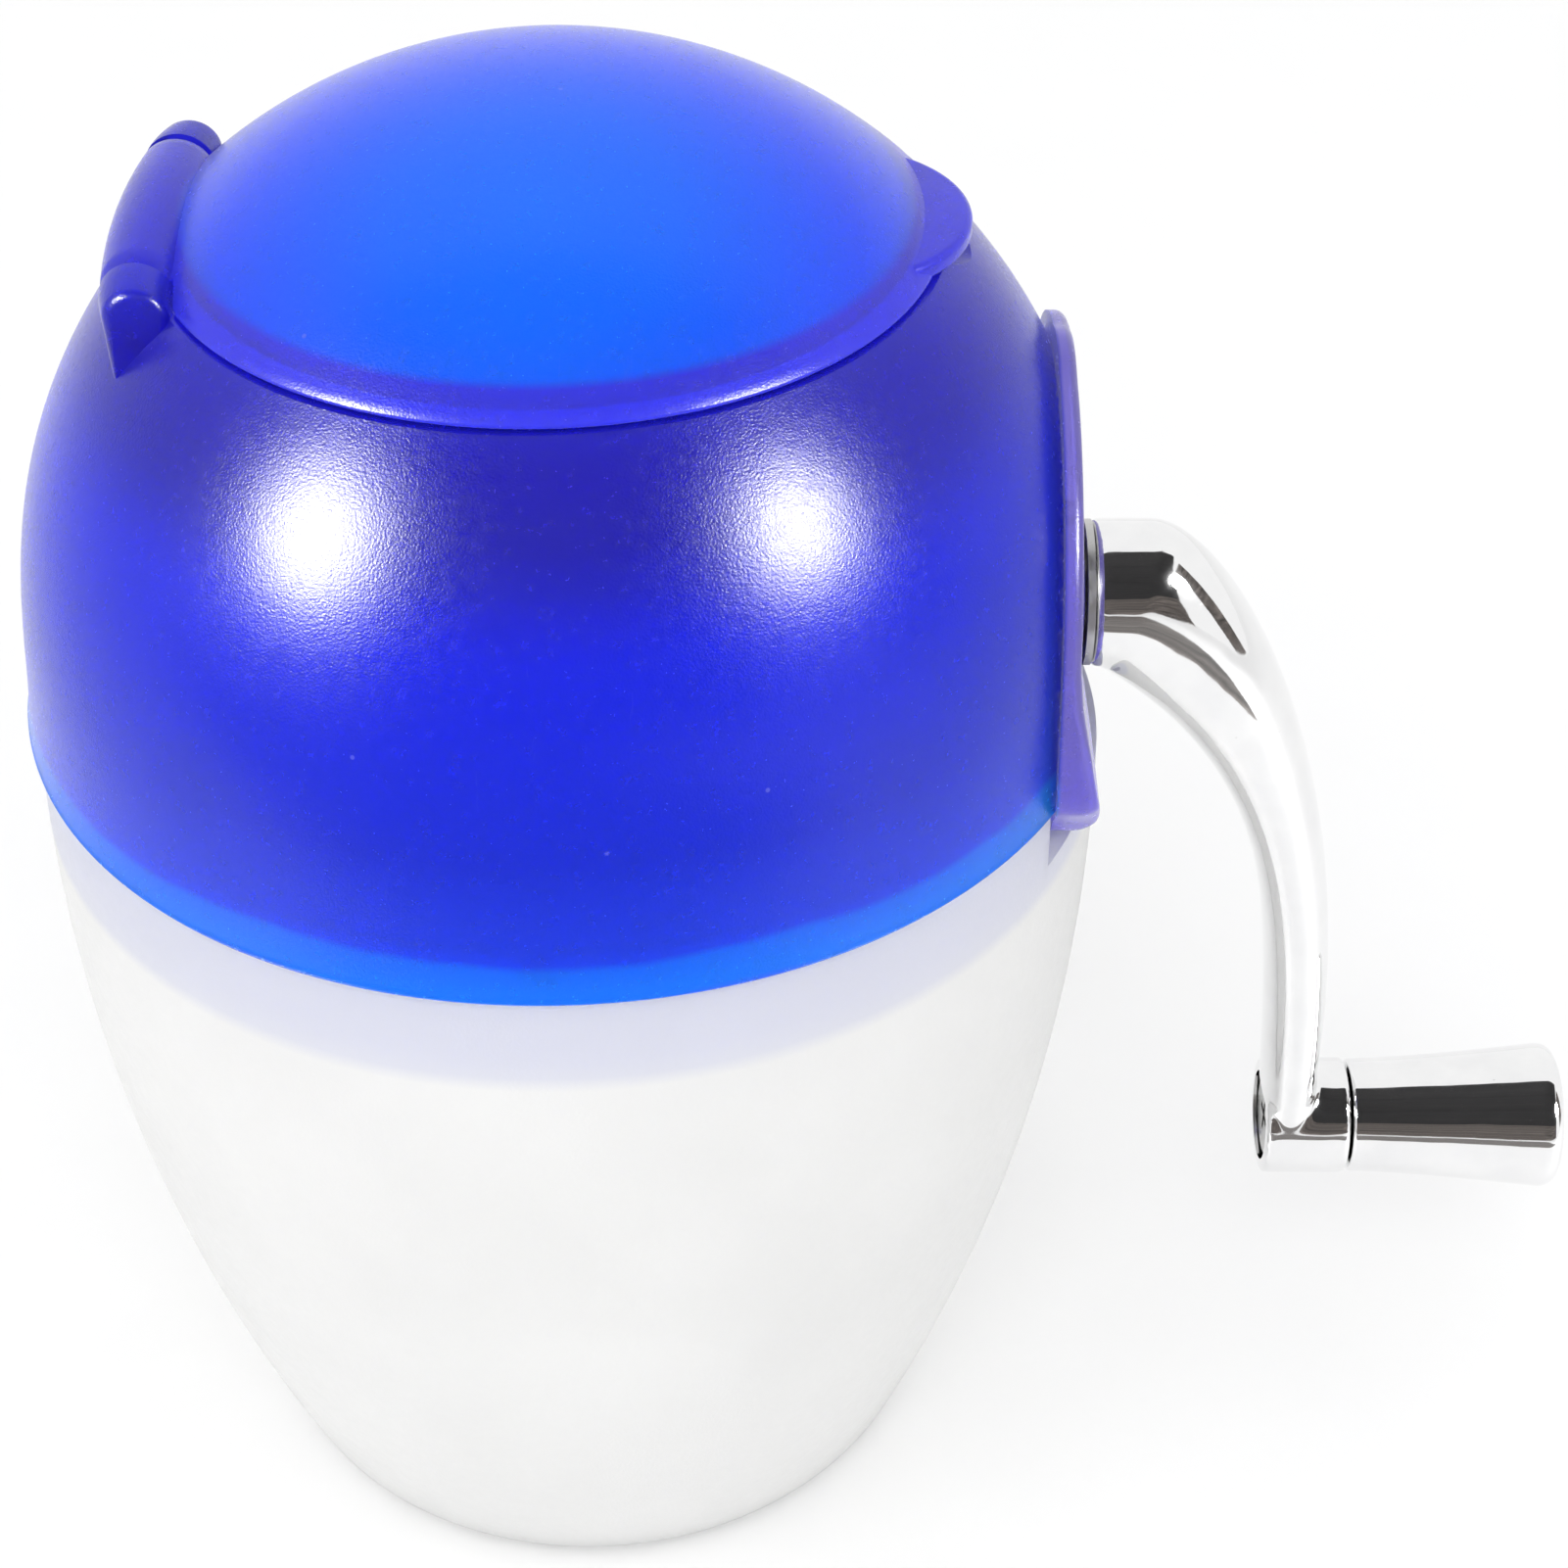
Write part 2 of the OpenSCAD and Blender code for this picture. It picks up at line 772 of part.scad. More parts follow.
module crank_arm() {
  color("gainsboro")
    at_rim()
      difference() {
        union() {
          bar_x(hub_r, hub_x, hub_end_x + 1, 0, shaft_z);
          intersection() {
            arm_blank();
            union() {
              bar_x(hub_r + 0.5, hub_x, 90, 0, shaft_z);
              block([hub_x, -20, -90], [far, 20, shaft_z]);
            }
          }
          bar_x(boss_r, knob_boss_x, knob_boss_end, 0, knob_z);
        }
        difference() {
          bar_x(journal_r + 0.02, hub_x - 1, drive_end_x + 0.5, 0, shaft_z);
          block([hub_x - 2, drive_flat + 0.02, -far], [far, far, far]);
        }
        bar_x(recess_r, knob_boss_x - 5, knob_boss_x + recess_d, 0, knob_z);
        bar_x(knob_journal_r + running, knob_boss_x - 5, knob_boss_end + 5, 0, knob_z);
        block([knob_boss_end, -20, knob_z - 20], [far, 20, knob_z + 20]);
        bar_y(set_screw_r, 2, 20, set_screw_x, shaft_z);
      }
}

module crank_set_screw() {
  color("dimgray")
    at_rim()
      difference() {
        bar_y(set_screw_r, drive_flat, drive_flat + 4.5, set_screw_x, shaft_z);
        translate([set_screw_x, drive_flat + 3, shaft_z])
          rotate([-90, 0, 0])
            cylinder(h = 3, r = 0.9, $fn = 6);
      }
}

module knob() {
  end_x = knob_x + knob_len;
  color("gainsboro")
    at_rim()
      translate([0, 0, knob_z])
        difference() {
          rotate([0, 90, 0])
            rotate_extrude()
              polygon(concat(
                [[0, knob_x], [boss_r - 0.3, knob_x], [boss_r, knob_x + 0.3], [boss_r + 0.5, knob_x + 12]],
                arc([knob_r - 2, end_x - 2.6], 2, -5, 90, 8),
                [[0, end_x]]
              ));
          bar_x(knob_core_r, knob_x - 1, knob_x + 18);
        }
}

module knob_screw() {
  head_x = knob_boss_x + recess_d;
  color("gray")
    at_rim()
      translate([0, 0, knob_z])
        difference() {
          union() {
            bar_x(5.4, head_x - 2.4, head_x - 0.3);
            bar_x(knob_journal_r, head_x - 0.4, knob_x);
            bar_x(knob_core_r, knob_x - eps, knob_x + 17);
          }
          translate([head_x - 2.4, 0, 0])
            for (a = [0, 90])
              rotate([a, 0, 0])
                cube([2, 5, 1], center = true);
        }
}

cup();
head_shell();
hopper();
side_plate();
bush_right();
bush_left();
comb(-1);  // comb_front
comb(1);  // comb_rear
comb_screws();
hopper_screws();
plate_screws();
hinge_pin();
lid();
shaft();
blade(1);  // blade_1
blade(2);  // blade_2
blade(3);  // blade_3
blade(4);  // blade_4
blade(5);  // blade_5
blade(6);  // blade_6
spacer(1);  // spacer_1
spacer(2);  // spacer_2
spacer(3);  // spacer_3
spacer(4);  // spacer_4
spacer(5);  // spacer_5
end_spacer_left();
end_spacer_right();
retaining_clip();
thrust_washer();
crank_arm();
crank_set_screw();
knob();
knob_screw();
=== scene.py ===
"""Looks of a hand-crank ice crusher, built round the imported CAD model. Metres, +Z up."""
import json
import math

import bmesh
import bpy
import numpy as np
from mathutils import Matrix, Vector


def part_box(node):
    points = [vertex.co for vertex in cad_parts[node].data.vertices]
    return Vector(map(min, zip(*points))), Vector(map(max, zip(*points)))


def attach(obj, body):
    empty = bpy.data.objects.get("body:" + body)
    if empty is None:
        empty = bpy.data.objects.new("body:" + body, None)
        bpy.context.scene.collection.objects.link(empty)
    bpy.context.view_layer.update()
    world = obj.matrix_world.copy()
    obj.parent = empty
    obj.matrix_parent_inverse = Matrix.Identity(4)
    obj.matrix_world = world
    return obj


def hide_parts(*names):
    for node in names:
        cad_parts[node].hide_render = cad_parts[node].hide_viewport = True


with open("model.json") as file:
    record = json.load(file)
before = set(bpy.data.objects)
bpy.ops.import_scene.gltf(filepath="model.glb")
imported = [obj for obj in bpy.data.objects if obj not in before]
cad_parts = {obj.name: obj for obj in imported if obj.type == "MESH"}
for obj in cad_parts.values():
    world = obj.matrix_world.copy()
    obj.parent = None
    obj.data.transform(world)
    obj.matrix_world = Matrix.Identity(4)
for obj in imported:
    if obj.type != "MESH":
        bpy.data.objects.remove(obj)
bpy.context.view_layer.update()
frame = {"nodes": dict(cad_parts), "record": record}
MM = 0.001

# ---------------------------------------------------------------- dimensions, in mm
# Heights in the head are measured from its lower rim, as in the CAD.
RIM = round(1000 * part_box("head_shell")[0].z, 1)
CLEAR = 0.3
SLACK = 0.02                    # kept between a boss or bush and the hole it sits in
FAR, BELOW = 80, -5             # past the head's side, and below its rim
THROUGH = (50, 70)              # along x, from inside the head to outside its side plate
FINE = 216                      # steps round the large solids of revolution

DOME = [(67, 0), (64.4, 13.5), (69.1, 35.3), (45.5, 59.3)]
HEAD_WALL = 2.3
FLAT_X = 58.6
SEAT = 59.3
RIM_EDGE = 0.4
MOUTH_R, MOUTH_EDGE = 41.6, 0.5
COLLAR_R, COLLAR_TOP, COLLAR_DROP = 43.6, 57.2, 6
SCOOP_R, SCOOP_X, SCOOP_Z = 14.5, 49, 70.9

CUP_SIDE = [(65.9, -CLEAR), (68.5, -44.6), (57.9, -85.2)]
CUP_BASE_R, CUP_EDGE_R, FOOT_TURN = 40.5, 6.0, 22.6
CUP_WALL, CUP_ROUND = 2.4, 0.35
LIP_OUT, LIP_IN, LIP_H, LIP_FOOT, LIP_EDGE = 63.9, 62.3, 5.0, -8, 0.3
NOTCH_X, NOTCH_D = 58.2, 8.6
SHELF_TOP, SHELF_INSET = -0.5, 0.6
KEY_HALF, KEY_TOP = 1.8, 12
BAND_FROM, BAND_TO = 11.2, 13.2     # depths under the rim where the cup's painted bluish band, the blue hopper seen through the wall, fades out

LID_R, LID_SPHERE, LID_C, LID_WALL, LID_EDGE = 44.87, 64.7, 13.4, 2.3, 0.12
SKIRT_R, SKIRT_WALL, SKIRT_DROP, SKIRT_EDGE = 41.3, 1.9, 4.5, 0.3
TAB_R, TAB_X, TAB_T, TAB_CROWN = 17.4, 30.8, 2.15, 0.5
TAB_EDGE, TAB_FOOT = 0.9, 0.4
LID_SPAN = (40, 80)             # heights below and above all that sits on the seat

HINGE_X, HINGE_Z, BARREL_R, SWELL, KNUCKLE = -44.6, 59.2, 4.3, 1.1, 15.5
OUTER_KNUCKLE, KNUCKLE_EDGE, KNUCKLE_SLIM = 21.7, 1.1, 0.75
TAIL = (-3.2, -10.2)
HINGE, HINGE_END = (HINGE_X, 0, HINGE_Z), 30
TROUGH_Y, TROUGH_WALL = KNUCKLE + 0.35, 2.0

PLATE_MARGIN, PLATE_EDGE = 1.0, 1.3
PLATE_BOSS_R, PLATE_BOSS_X, BOSS_ROUND = 9, 63.2, 1.0
BUSH_R = 6.8
# How far out the plate's face is, as (height, x): it swells into a lip at the bottom.
PLATE_FACE = [(-8.0, 62.6), (-6.9, 63.7), (-5.5, 64.2), (-4.2, 64.3), (-3.0, 64.2), (0, 63.75),
              (3, 63.3), (7.5, 62.5), (11, 61.8), (14, 61.25), (19, 60.8), (60, 60.8)]

SHAFT_Z = 9.5
SHAFT_BORE, SHAFT_END = 5.03, 74.6
HUB_X, HUB_R = 64.5, 9.15
ELBOW_Z, ARM_HALF_LOW = 6, 6.8
BOSS_X0, BOSS_X1, BOSS_R, BOSS_Z, BOSS_EDGE = 93.4, 105.05, 8.05, -78.6, 0.6
RECESS_R, SCREW_BORE = 6.2, 3.06
FILLET_REACH = 2.2
ARM_VOXEL = 0.45
ARM_OUT = [(73, 18.65), (82, 17), (103.4, -16.7), (99.9, -76)]
ARM_IN = [(66, 0), (90.5, -16.6), (91.3, -39.6), (93.2, -76)]
KNOB_X, KNOB_LEN, KNOB_R = 105.35, 28.95, 10.0
KNOB_BORE, KNOB_BORE_DEPTH = 2.5, 18


# ---------------------------------------------------------------- mesh helpers
def bezier(corners, n):
    """n + 1 points on a cubic curve with four corners."""
    p = np.array(corners, float)
    t = np.linspace(0, 1, n + 1)[:, None]
    return (1 - t) ** 3 * p[0] + 3 * t * (1 - t) ** 2 * p[1] + 3 * t * t * (1 - t) * p[2] + t ** 3 * p[3]


def arc(cx, cy, r, a, b, n):
    """n + 1 points of an arc, from angle a to angle b in degrees."""
    t = np.radians(np.linspace(a, b, n + 1))
    return np.column_stack([cx + r * np.cos(t), cy + r * np.sin(t)])


def offset(line, d, closed=False):
    """A line of points moved sideways by d, to the left of its direction of travel."""
    q = np.array(line, float)
    if closed:
        step = np.roll(q, -1, 0) - np.roll(q, 1, 0)
    else:
        step = np.gradient(q, axis=0)
    step /= np.linalg.norm(step, axis=1)[:, None]
    return q + d * np.column_stack([-step[:, 1], step[:, 0]])


def new_object(name, verts, faces):
    """A mesh object from points in mm, measured from the head's rim."""
    mesh = bpy.data.meshes.new(name)
    shifted = (np.array(verts, float) + [0, 0, RIM]) * MM
    mesh.from_pydata(shifted.tolist(), [], faces)
    bm = bmesh.new()
    bm.from_mesh(mesh)
    bmesh.ops.remove_doubles(bm, verts=bm.verts, dist=1e-7)
    bmesh.ops.recalc_face_normals(bm, faces=bm.faces)
    bm.to_mesh(mesh)
    bm.free()
    obj = bpy.data.objects.new(name, mesh)
    bpy.context.scene.collection.objects.link(obj)
    return obj


def revolve(name, profile, steps=180, axis="z", centre=(0, 0, 0)):
    """A solid of revolution of a closed profile of (radius, height) about z, y or x."""
    prof = np.array(profile, float)
    n = len(prof)
    verts, faces, index = [], [], np.zeros((steps, n), int)
    for k in range(n):
        for s in range(steps):
            if prof[k, 0] < 1e-6 and s:
                index[s, k] = index[0, k]
                continue
            a = 2 * math.pi * s / steps
            c, d, h = prof[k, 0] * math.cos(a), prof[k, 0] * math.sin(a), prof[k, 1]
            point = {"z": (c, d, h), "y": (c, h, d), "x": (h, c, d)}[axis]
            index[s, k] = len(verts)
            verts.append(np.add(point, centre))
    for s in range(steps):
        t = (s + 1) % steps
        for k in range(n):
            m = (k + 1) % n
            ring = [index[s, k], index[t, k], index[t, m], index[s, m]]
            face = [v for i, v in enumerate(ring) if v not in ring[:i]]
            if len(face) > 2:
                faces.append(face)
    return new_object(name, verts, faces)


def loft(name, rings):
    """A closed solid through rings that have the same number of points, with flat ends."""
    n = len(rings[0])
    verts = np.vstack(rings)
    faces = [list(range(n))[::-1], [(len(rings) - 1) * n + i for i in range(n)]]
    for r in range(len(rings) - 1):
        for i in range(n):
            j = (i + 1) % n
            faces.append([r * n + i, r * n + j, (r + 1) * n + j, (r + 1) * n + i])
    return new_object(name, verts, faces)


def block(name, low, high):
    """A cutting block between two corners."""
    x, y, z = zip(low, high)
    ring = [(x[0], y[0]), (x[1], y[0]), (x[1], y[1]), (x[0], y[1])]
    return loft(name, [np.array([(a, b, c) for a, b in ring]) for c in z])


def bar(r, low, high, steps=144, axis="z", centre=(0, 0, 0)):
    """A plain round bar along z, y or x, between two distances."""
    return revolve("bar", [(0, low), (r, low), (r, high), (0, high)], steps, axis, centre)


def rod(r, x0, x1, z, steps=96):
    """A plain round bar along x at the height z."""
    return bar(r, x0, x1, steps, "x", (0, 0, z))


def beyond(x, low, high=FAR):
    """A cutting block for all that lies past x, between two heights."""
    return block("beyond", (x, -FAR, low), (FAR, FAR, high))


def apply_modifiers(obj):
    """The object's mesh becomes what its modifiers make of it."""
    graph = bpy.context.evaluated_depsgraph_get()
    mesh = bpy.data.meshes.new_from_object(obj.evaluated_get(graph))
    old = obj.data
    obj.modifiers.clear()
    obj.data = mesh
    bpy.data.meshes.remove(old)
    return obj


def boolean(obj, how, *others):
    """obj cut by, joined with or kept inside the others, which are used up."""
    for other in others:
        mod = obj.modifiers.new("b", "BOOLEAN")
        mod.operation, mod.solver, mod.object = how, "MANIFOLD", other
        bpy.context.view_layer.update()
        apply_modifiers(obj)
        mesh = other.data
        bpy.data.objects.remove(other)
        bpy.data.meshes.remove(mesh)
    return obj


def copy_of(obj):
    twin = bpy.data.objects.new("copy", obj.data.copy())
    bpy.context.scene.collection.objects.link(twin)
    return twin


def relax(obj, passes, group=""):
    """Evens out the surface, where the vertex group says so if one is named."""
    even = obj.modifiers.new("relax", "SMOOTH")
    even.factor, even.iterations, even.vertex_group = 0.5, passes, group
    return apply_modifiers(obj)


def smooth(obj, angle=32):
    """Smooth shading, except across edges sharper than angle."""
    obj.data.shade_smooth()
    obj.data.set_sharp_from_angle(angle=math.radians(angle))
    return obj


def tidy_mesh(obj):
    """Takes out the slivers that a cut leaves, and keeps the mesh closed."""
    bm = bmesh.new()
    bm.from_mesh(obj.data)
    bmesh.ops.remove_doubles(bm, verts=bm.verts, dist=0.004 * MM)
    bmesh.ops.dissolve_degenerate(bm, edges=bm.edges, dist=0.002 * MM)
    bmesh.ops.triangulate(bm, faces=[f for f in bm.faces if len(f.verts) > 4])
    bmesh.ops.recalc_face_normals(bm, faces=bm.faces)
    bm.to_mesh(obj.data)
    bm.free()
    return obj


def superellipse(n, power):
    """Unit points round a rounded section."""
    t = np.linspace(0, 2 * math.pi, n, endpoint=False)
    c, s = np.cos(t), np.sin(t)
    e = 2 / power
    return np.column_stack([np.sign(c) * np.abs(c) ** e, np.sign(s) * np.abs(s) ** e])


def finish_piece(obj, body, slot, material, *nodes):
    """Gives a finished piece its material and smooth shading, hangs it on its body and hides the CAD
    nodes it stands in for.
    """
    obj.data.materials.clear()
    obj.data.materials.append(material)
    smooth(tidy_mesh(obj))
    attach(obj, body)
    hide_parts(*nodes)
    return obj


# ---------------------------------------------------------------- materials
class Nodes:
    """A short way to write a node tree round one Principled shader."""

    def __init__(self, name):
        self.mat = bpy.data.materials.new(name)
        self.mat.use_nodes = True
        self.tree = self.mat.node_tree
        self.shader = self.tree.nodes["Principled BSDF"]
        self.coords = self.add("ShaderNodeTexCoord").outputs["Object"]

    def add(self, kind, **values):
        node = self.tree.nodes.new(kind)
        for key, value in values.items():
            if hasattr(node, key):
                setattr(node, key, value)
            else:
                node.inputs[key.replace("_", " ")].default_value = value
        return node

    def link(self, a, b):
        self.tree.links.new(a, b)

    def set(self, **values):
        for key, value in values.items():
            self.shader.inputs[key.replace("_", " ")].default_value = value

    def scaled(self, scale):
        """Object coordinates scaled along each axis."""
        node = self.add("ShaderNodeMapping")
        node.inputs["Scale"].default_value = scale
        self.link(self.coords, node.inputs["Vector"])
        return node.outputs["Vector"]

    def axis(self, letter):
        """One of the object coordinates, in metres."""
        node = self.add("ShaderNodeSeparateXYZ")
        self.link(self.coords, node.inputs[0])
        return node.outputs[letter]

    def noise(self, scale, detail=2.0, rough=0.5, vector=None):
        """Noise with scale cells to the metre."""
        node = self.add("ShaderNodeTexNoise", Scale=scale, Detail=detail, Roughness=rough)
        self.link(vector or self.coords, node.inputs["Vector"])
        return node.outputs["Fac"]

    def spots(self, scale, radius, vector=None):
        """1 inside sparse round spots, 0 elsewhere."""
        cells = self.add("ShaderNodeTexVoronoi", Scale=scale)
        self.link(vector or self.coords, cells.inputs["Vector"])
        return self.ramp(cells.outputs["Distance"], [(0, 1), (radius, 1), (radius * 1.3, 0)])

    def ramp(self, fac, stops):
        """A colour ramp, whose stops are (position, grey) or (position, (r, g, b))."""
        node = self.add("ShaderNodeValToRGB")
        ramp = node.color_ramp
        while len(ramp.elements) < len(stops):
            ramp.elements.new(0.5)
        for element, (at, value) in zip(ramp.elements, stops):
            element.position = at
            element.color = (value,) * 3 + (1,) if isinstance(value, (int, float)) else (*value, 1)
        self.link(fac, node.inputs["Fac"])
        return node.outputs["Color"]

    def fade(self, distance, low, high, before=0, after=1):
        """Goes from before to after as a distance in metres passes from low to high, in mm."""
        share = self.math("DIVIDE", distance, 2 * high * MM)
        return self.ramp(share, [(low / high / 2, before), (0.5, after)])

    def math(self, how, a, b):
        node = self.add("ShaderNodeMath", operation=how)
        for socket, value in zip(node.inputs, (a, b)):
            if isinstance(value, (int, float)):
                socket.default_value = value
            else:
                self.link(value, socket)
        return node.outputs[0]

    def mix(self, fac, a, b):
        node = self.add("ShaderNodeMix", data_type="RGBA")
        for socket, value in ((node.inputs[0], fac), (node.inputs[6], a), (node.inputs[7], b)):
            if isinstance(value, tuple):
                socket.default_value = (*value, 1)
            elif isinstance(value, (int, float)):
                socket.default_value = value
            else:
                self.link(value, socket)
        return node.outputs[2]

    def colour(self, value):
        self.link(value, self.shader.inputs["Base Color"])

    def rough(self, fac, low, high):
        """Roughness between low and high."""
        node = self.add("ShaderNodeMapRange")
        node.inputs["From Min"].default_value = 0.3
        node.inputs["From Max"].default_value = 0.7
        node.inputs["To Min"].default_value = low
        node.inputs["To Max"].default_value = high
        self.link(fac, node.inputs["Value"])
        self.link(node.outputs["Result"], self.shader.inputs["Roughness"])

    def bump(self, *layers):
        """Bump from layers of (height, depth in metres)."""
        normal = None
        for height, depth in layers:
            node = self.add("ShaderNodeBump", Strength=1.0, Distance=depth)
            self.link(height, node.inputs["Height"])
            if normal is not None:
                self.link(normal, node.inputs["Normal"])
            normal = node.outputs["Normal"]
        self.link(normal, self.shader.inputs["Normal"])


def blue_plastic(name, see_through, where, stops, veil):
    """Tinted polystyrene with a fine moulded grain, dust specks and faint scratches.

    where(nodes) gives a distance in metres through the part, and stops says, from
    (distance in mm, colour) pairs, how the colour changes along it: the part's tint together with
    painted light and shade of what lies behind the wall.
    veil is (where, from mm, to mm, colour): a part with a colour of its own, which is the thicker
    rim's own tint on the lid and a painted reflection, a paler lilac, on the head's side plate."""
    n = Nodes(name)
    reach, wander, dust_share, scratch_share = stops[-1][0] * MM, 0.05, 0.35, 0.06
    along = n.math("DIVIDE", where(n), reach)
    drift = n.math("MULTIPLY", n.math("SUBTRACT", n.noise(28, 3), 0.5), wander)
    along = n.math("ADD", along, drift)
    # painted light and shade: the ramp holds the part's tint together with the light and shade of what
    # lies behind it
    tint_light_and_shade = n.ramp(along, [(d * MM / reach, colour) for d, colour in stops])
    veil_at, low, high, veil_colour = veil
    # the veil: the lid's thicker rim in its own tint, the head's side plate in a paler lilac that is
    # painted reflection
    tint_light_and_shade = n.mix(n.fade(veil_at(n), low, high), tint_light_and_shade, veil_colour)
    dust = n.spots(70, 0.018)
    lines = n.noise(60, 4, 0.6, n.scaled((14, 1, 1.5)))
    scratch = n.ramp(lines, [(0.70, 0), (0.735, 1), (0.75, 0)])
    base = n.mix(n.math("MULTIPLY", dust, dust_share), tint_light_and_shade, (0.45, 0.5, 0.95))
    n.colour(n.mix(n.math("MULTIPLY", scratch, scratch_share), base, (0.35, 0.4, 0.95)))
    n.rough(n.noise(900, 3), 0.22, 0.28)
    n.bump((n.noise(3600, 2), 0.035 * MM), (n.noise(420, 1), 0.01 * MM))
    n.set(Transmission_Weight=see_through, IOR=1.36, Sheen_Weight=0.25, Sheen_Roughness=0.28)
    return n.mat


def height_over(z):
    """Height in metres over the level z, given in mm from the head's rim."""
    def where(n):
        return n.math("SUBTRACT", n.axis("Z"), (RIM + z) * MM)
    return where


def along_x(n):
    """Distance along X in metres."""
    return n.axis("X")


def from_axis(n):
    """Distance in metres from the vertical axis."""
    node = n.add("ShaderNodeVectorMath", operation="LENGTH")
    n.link(n.scaled((1, 1, 0)), node.inputs[0])
    return node.outputs["Value"]


def distance_from(x, y, z):
    """Distance in metres from a point in mm, measured from the head's rim."""
    def where(n):
        node = n.add("ShaderNodeVectorMath", operation="DISTANCE")
        node.inputs[1].default_value = (x * MM, y * MM, (RIM + z) * MM)
        n.link(n.coords, node.inputs[0])
        return node.outputs["Value"]
    return where


def frosted_plastic(name):
    """Clear polypropylene with a frosted face, and a painted bluish band under the head's rim, where the
    blue hopper shows through the wall.
    """
    n = Nodes(name)
    cloud = n.ramp(n.noise(30, 3), [(0.35, 0), (0.65, 1)])
    dust = n.spots(60, 0.012)
    base = n.mix(cloud, (0.855, 0.855, 0.85), (0.885, 0.885, 0.88))
    depth = n.math("SUBTRACT", RIM * MM, n.axis("Z"))
    # painted bluish band under the head's rim: the blue of the hopper behind, seen through the frosted
    # wall
    base = n.mix(n.fade(depth, BAND_FROM, BAND_TO, 1, 0), base, (0.74, 0.75, 0.83))
    n.colour(n.mix(n.math("MULTIPLY", dust, 0.5), base, (0.45, 0.45, 0.47)))
    n.rough(n.noise(700, 3), 0.46, 0.58)
    n.bump((n.noise(2200, 2), 0.03 * MM), (n.noise(300, 1), 0.04 * MM))
    n.set(Transmission_Weight=0.35, IOR=1.49, Specular_IOR_Level=0.2)
    return n.mat


def chrome(name):
    """Bright plating over a casting: faint waves, fine pits and a slight haze."""
    n = Nodes(name)
    haze = n.ramp(n.noise(180, 4), [(0.3, 0), (0.7, 1)])
    pits = n.spots(260, 0.03)
    n.colour(n.mix(haze, (0.82, 0.82, 0.825), (0.87, 0.87, 0.87)))
    n.rough(n.noise(500, 4), 0.035, 0.085)
    n.bump((n.noise(95, 2), 0.12 * MM), (pits, 0.01 * MM))
    n.set(Metallic=1.0)
    return n.mat


def steel(name, colour, low, high, stretch):
    """Worked steel, with marks drawn out along one axis."""
    n = Nodes(name)
    marks = n.noise(1400, 4, 0.6, n.scaled(stretch))
    stain = n.ramp(n.noise(70, 3), [(0.35, 0), (0.65, 1)])
    light = tuple(c * 1.12 for c in colour)
    dark = tuple(c * 0.8 for c in colour)
    n.colour(n.mix(stain, light, dark))
    n.rough(marks, low, high)
    n.bump((marks, 0.02 * MM))
    n.set(Metallic=1.0)
    return n.mat


def acetal(name):
    """White moulded bearing plastic."""
    n = Nodes(name)
    cloud = n.ramp(n.noise(120, 3), [(0.3, 0), (0.7, 1)])
    n.colour(n.mix(cloud, (0.80, 0.80, 0.77), (0.87, 0.87, 0.85)))
    n.rough(n.noise(800, 3), 0.38, 0.5)
    n.bump((n.noise(1500, 2), 0.02 * MM))
    n.set(Subsurface_Weight=0.1, Subsurface_Scale=2 * MM)
    return n.mat


TINT_FOOT = -10                 # the level, in mm, from which the tints' heights are taken
HEAD = blue_plastic("head_blue", 0.6, height_over(TINT_FOOT), [
    (0, (0.16, 0.13, 0.75)),            # below the rim: the lip of the side plate, in a lilac that is painted reflection
    (9, (0.10, 0.10, 0.85)),
    (10.2, (0.004, 0.29, 0.95)),        # a bright band along the rim: painted light of the cup's white lip shining through the wall
    (14.3, (0.004, 0.22, 0.93)),
    (15.3, (0.010, 0.075, 0.82)),       # the sides, with painted shade of the hopper behind them
    (28, (0.008, 0.042, 0.73)),
    (50, (0.006, 0.026, 0.80)),
    (60, (0.008, 0.004, 0.54)),         # painted shade: the dark shoulder under the lid
    (66, (0.012, 0.003, 0.56)),
    (80, (0.05, 0.06, 0.86)),
# the side plate past FLAT_X: a paler lilac than the dome, which is painted reflection of the white
# surroundings on its sideways face
], (along_x, FLAT_X + 0.15, FLAT_X + 0.4, (0.30, 0.25, 0.92)))
LID = blue_plastic("lid_blue", 0.6, distance_from(0, -22, 72), [
    (0, (0.001, 0.26, 1.0)),            # painted light: brightest in front of the middle, as if lit through from inside
    (16, (0.001, 0.23, 1.0)),
    (36, (0.012, 0.12, 0.97)),
    # paler towards the edge: painted reflection of the white surroundings
    (66, (0.16, 0.20, 0.88)),
], (from_axis, SKIRT_R - 0.1, SKIRT_R + 0.7, (0.065, 0.060, 0.80)))
HOPPER = blue_plastic("hopper_blue", 0.5, height_over(TINT_FOOT), [
    (0, (0.05, 0.13, 0.98)),
    (60, (0.02, 0.06, 0.92)),
], (from_axis, 62, 64, (0.05, 0.2, 1.0)))
CUP = frosted_plastic("cup_frosted")
CHROME = chrome("crank_plating")
KNOB_CHROME = chrome("knob_plating")
BLADE = steel("blade_stamped", (0.62, 0.62, 0.63), 0.22, 0.38, (1, 0.1, 0.1))
SHAFT = steel("shaft_turned", (0.56, 0.56, 0.57), 0.2, 0.34, (1, 0.05, 0.05))
SCREW = steel("screw_zinc", (0.5, 0.5, 0.49), 0.25, 0.4, (1, 1, 0.2))
BUSH = acetal("bush_acetal")
SLOT_MATERIALS = {
    "cup_plastic": CUP, "head_plastic": HEAD, "lid_plastic": LID, "hopper_plastic": HOPPER,
    "bush_plastic": BUSH, "blade_steel": BLADE, "shaft_steel": SHAFT, "screw_steel": SCREW,
    "crank_chrome": CHROME, "knob_chrome": KNOB_CHROME,
}
for part in frame["record"]["subparts"]:
    node = frame["nodes"][part["node"]]
    node.data.materials.clear()
    node.data.materials.append(SLOT_MATERIALS[part["material_slot"]])


